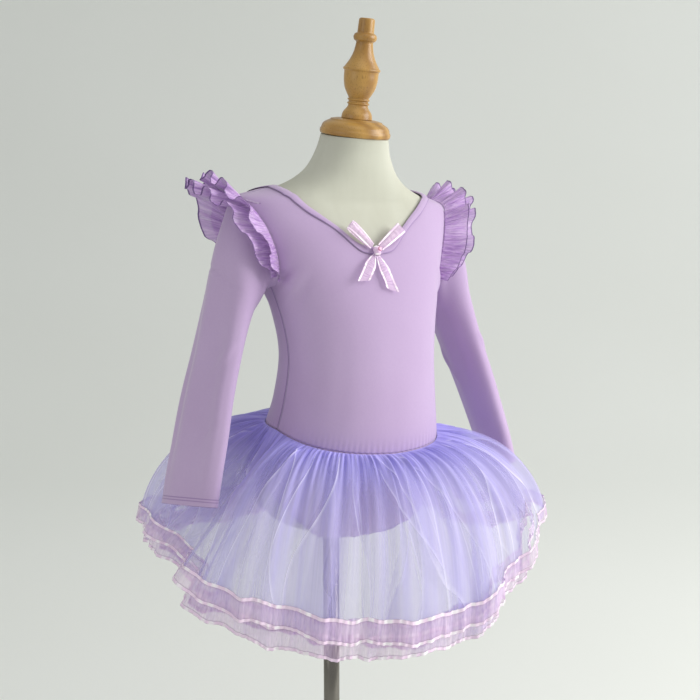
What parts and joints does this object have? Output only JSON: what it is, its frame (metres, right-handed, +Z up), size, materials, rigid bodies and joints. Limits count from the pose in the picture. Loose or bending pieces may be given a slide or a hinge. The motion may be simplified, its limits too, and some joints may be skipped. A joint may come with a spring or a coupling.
{
  "type": "skirted ballet leotard on a dress form",
  "caption": "Child's long-sleeved ballet leotard with layered tulle skirt, armhole ruffles and a small bow, worn by a limbless dress form.",
  "frame": {"origin": "centre of the base plate's underside, where the stand meets the floor", "axes": "+Z up; the form faces -Y; the wearer's right is at -X"},
  "size_m": [0.4527, 0.3847, 1.0469],
  "materials": {
    "jersey": "matt lilac cotton jersey",
    "tulle": "sheer periwinkle net",
    "organza": "sheer pink-lilac with satin edges",
    "stone": "clear pink",
    "padded_form": "matt off-white cover",
    "beech": "satin varnish",
    "chrome": "polished"
  },
  "bodies": {
    "root": {"bodice_back": "jersey", "bodice_front": "jersey", "brief_back": "jersey", "brief_front": "jersey", "neck_binding": "jersey", "sleeve_left": "jersey", "sleeve_right": "jersey", "skirt_inner": "tulle", "skirt_middle": "tulle", "skirt_outer": "tulle", "bow_knot": "organza", "bow_loop_left": "organza", "bow_loop_right": "organza", "bow_tail_left": "organza", "bow_tail_right": "organza", "hem_ribbon_inner": "organza", "hem_ribbon_middle": "organza", "hem_ribbon_outer": "organza", "ruffle_left_inner": "organza", "ruffle_left_outer": "organza", "ruffle_right_inner": "organza", "ruffle_right_outer": "organza", "bow_stone": "stone", "form_torso": "padded_form", "neck_cap": "beech", "neck_finial": "beech", "base_plate": "chrome", "pole": "chrome", "pole_collar": "chrome"}
  },
  "joints": []
}
